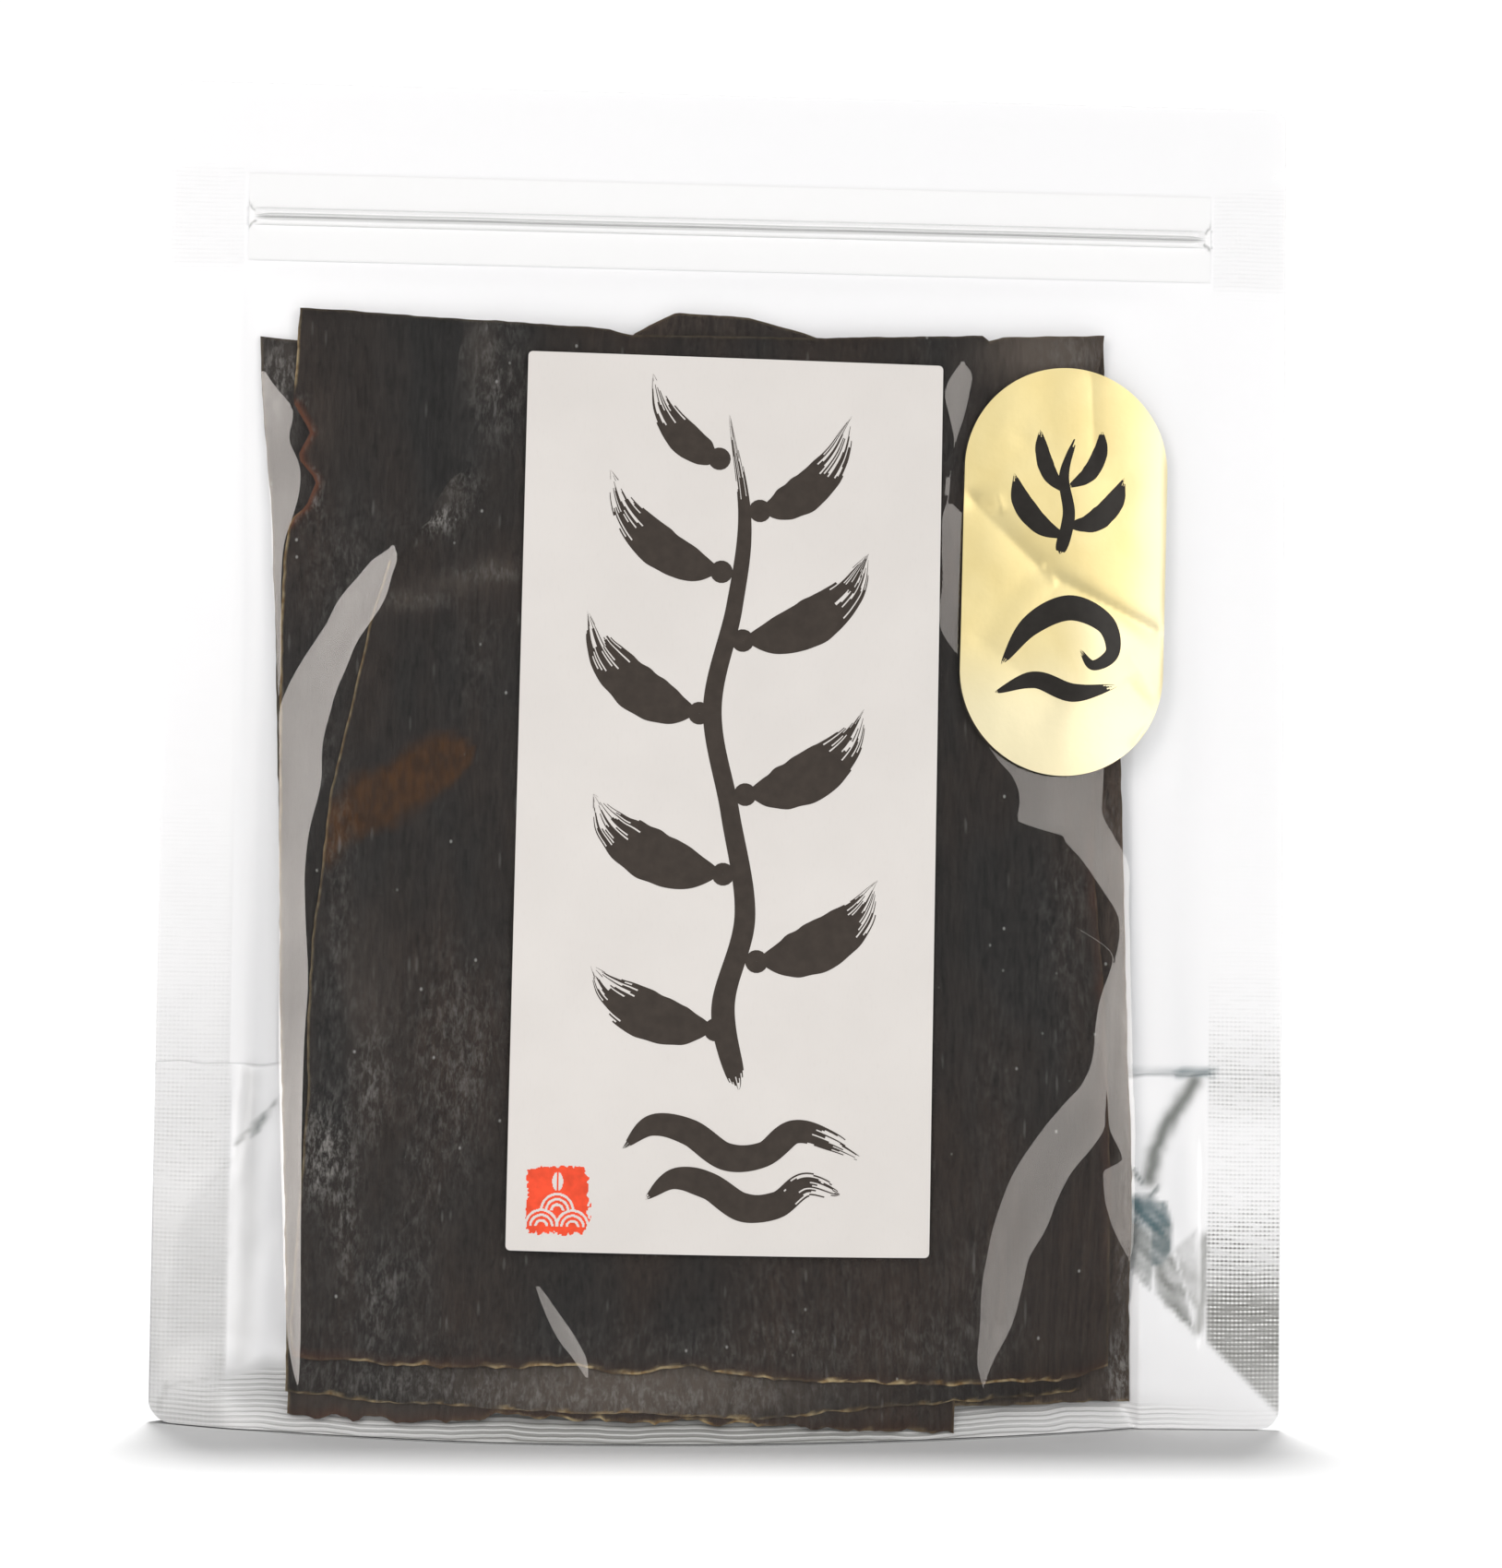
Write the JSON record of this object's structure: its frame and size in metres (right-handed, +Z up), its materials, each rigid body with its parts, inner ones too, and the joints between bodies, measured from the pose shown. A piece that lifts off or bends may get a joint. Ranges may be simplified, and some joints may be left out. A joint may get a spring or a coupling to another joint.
{
  "type": "zip pouch of dried kelp sheets",
  "caption": "Stand-up zip pouch with a clear front and metallised back, filled with dark dried kelp sheets, with a tall pale label and an oval gold foil sticker.",
  "frame": {"origin": "middle of the bounding box's floor, on the surface the pouch stands on", "axes": "+Z up, +X to the right across the front, +Y to the back; the clear front faces -Y"},
  "size_m": [0.2, 0.0514, 0.236],
  "materials": {
    "kelp_pouch": "dark kelp under clear glossy film",
    "clear_film": "clear glossy plastic film",
    "silver_film": "metallised film, satin, woven seal emboss",
    "kelp": "dry, leathery, with pale salt bloom",
    "zip_plastic": "clear glossy press-to-close profile",
    "label_paper": "satin pale silver-grey paper with black and red print",
    "gold_foil": "satin gold foil paper with black print"
  },
  "bodies": {
    "root": {"pouch": "kelp_pouch", "zip_front_half": "zip_plastic", "zip_back_half": "zip_plastic", "label": "label_paper", "foil_sticker": "gold_foil"}
  },
  "joints": []
}
